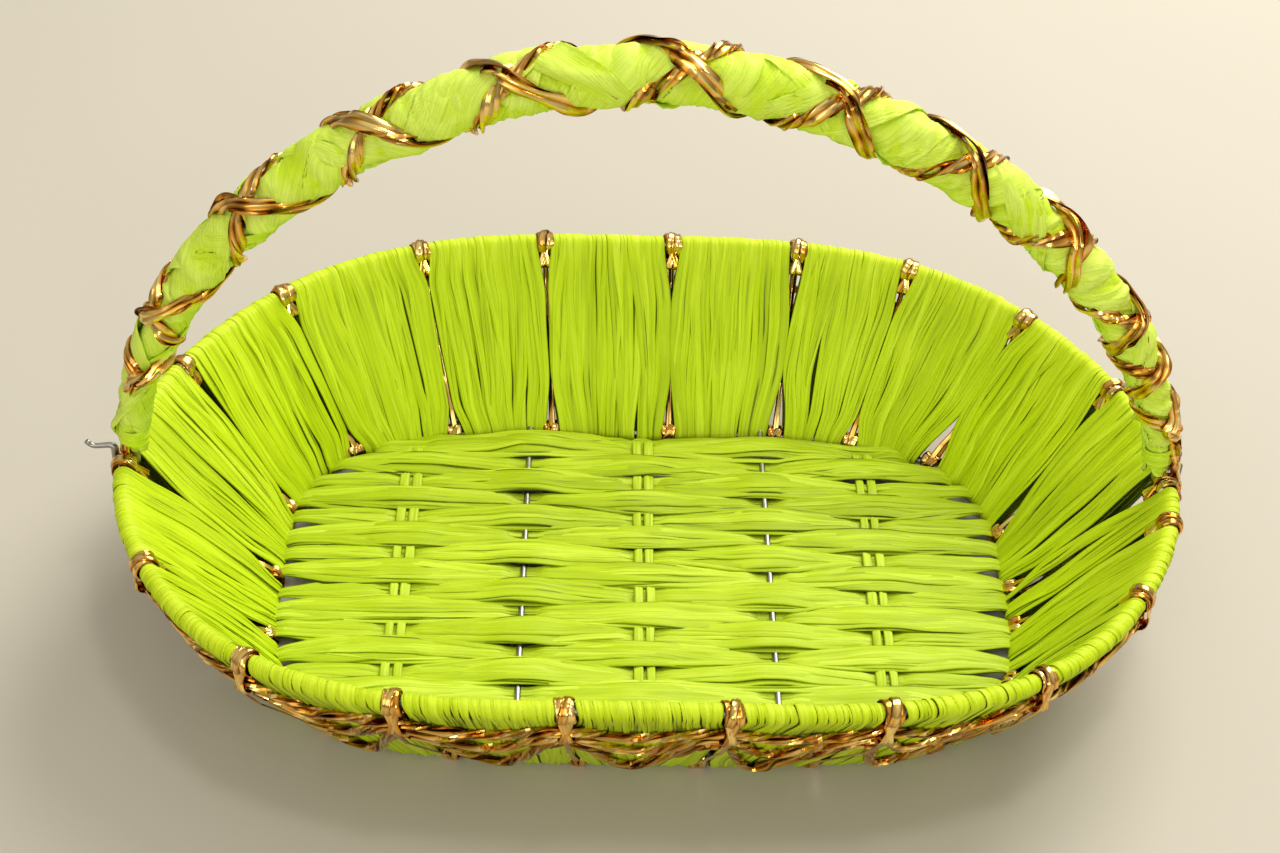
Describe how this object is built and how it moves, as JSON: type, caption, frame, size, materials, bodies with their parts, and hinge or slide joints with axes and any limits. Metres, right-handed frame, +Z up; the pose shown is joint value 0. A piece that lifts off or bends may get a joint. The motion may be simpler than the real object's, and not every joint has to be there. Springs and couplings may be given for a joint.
{
  "type": "oval basket with arched handle",
  "caption": "Shallow oval basket of raffia wound over steel wire, with a woven floor, an arched wound handle and metallic cord tied over the rim and draped round the wall.",
  "frame": {"origin": "middle of the basket's bounding box at the height of the surface it stands on", "axes": "+X along the basket, from the handle's left foot to its right foot; +Y across it, towards the back; +Z up"},
  "size_m": [0.3962, 0.2608, 0.2446],
  "materials": {
    "raffia": "crinkled ribbon, soft sheen",
    "metallic_cord": "metallised foil ribbon, twisted",
    "steel_wire": "plain drawn wire"
  },
  "bodies": {
    "root": {"rim_wire": "steel_wire", "base_wire": "steel_wire", "handle_wire": "steel_wire", "floor_rib_left": "steel_wire", "floor_rib_right": "steel_wire", "wall_panel_01": "raffia", "wall_panel_02": "raffia", "wall_panel_03": "raffia", "wall_panel_04": "raffia", "wall_panel_05": "raffia", "wall_panel_06": "raffia", "wall_panel_07": "raffia", "wall_panel_08": "raffia", "wall_panel_09": "raffia", "wall_panel_10": "raffia", "wall_panel_11": "raffia", "wall_panel_12": "raffia", "wall_panel_13": "raffia", "wall_panel_14": "raffia", "wall_panel_15": "raffia", "wall_panel_16": "raffia", "wall_panel_17": "raffia", "wall_panel_18": "raffia", "wall_panel_19": "raffia", "wall_panel_20": "raffia", "floor_warp_left": "raffia", "floor_warp_centre": "raffia", "floor_warp_right": "raffia", "floor_weft_1": "raffia", "floor_weft_2": "raffia", "floor_weft_3": "raffia", "floor_weft_4": "raffia", "handle_wrap": "raffia", "foot_band_left": "raffia", "foot_band_right": "raffia", "handle_cord_under": "metallic_cord", "handle_cord_over": "metallic_cord", "garland_upper": "metallic_cord", "garland_middle": "metallic_cord", "garland_lower": "metallic_cord", "wall_tie_01": "metallic_cord", "wall_tie_02": "metallic_cord", "wall_tie_03": "metallic_cord", "wall_tie_04": "metallic_cord", "wall_tie_05": "metallic_cord", "wall_tie_06": "metallic_cord", "wall_tie_07": "metallic_cord", "wall_tie_08": "metallic_cord", "wall_tie_09": "metallic_cord", "wall_tie_10": "metallic_cord", "wall_tie_11": "metallic_cord", "wall_tie_12": "metallic_cord", "wall_tie_13": "metallic_cord", "wall_tie_14": "metallic_cord", "wall_tie_15": "metallic_cord", "wall_tie_16": "metallic_cord", "wall_tie_17": "metallic_cord", "wall_tie_18": "metallic_cord", "wall_tie_19": "metallic_cord", "wall_tie_20": "metallic_cord"}
  },
  "joints": []
}
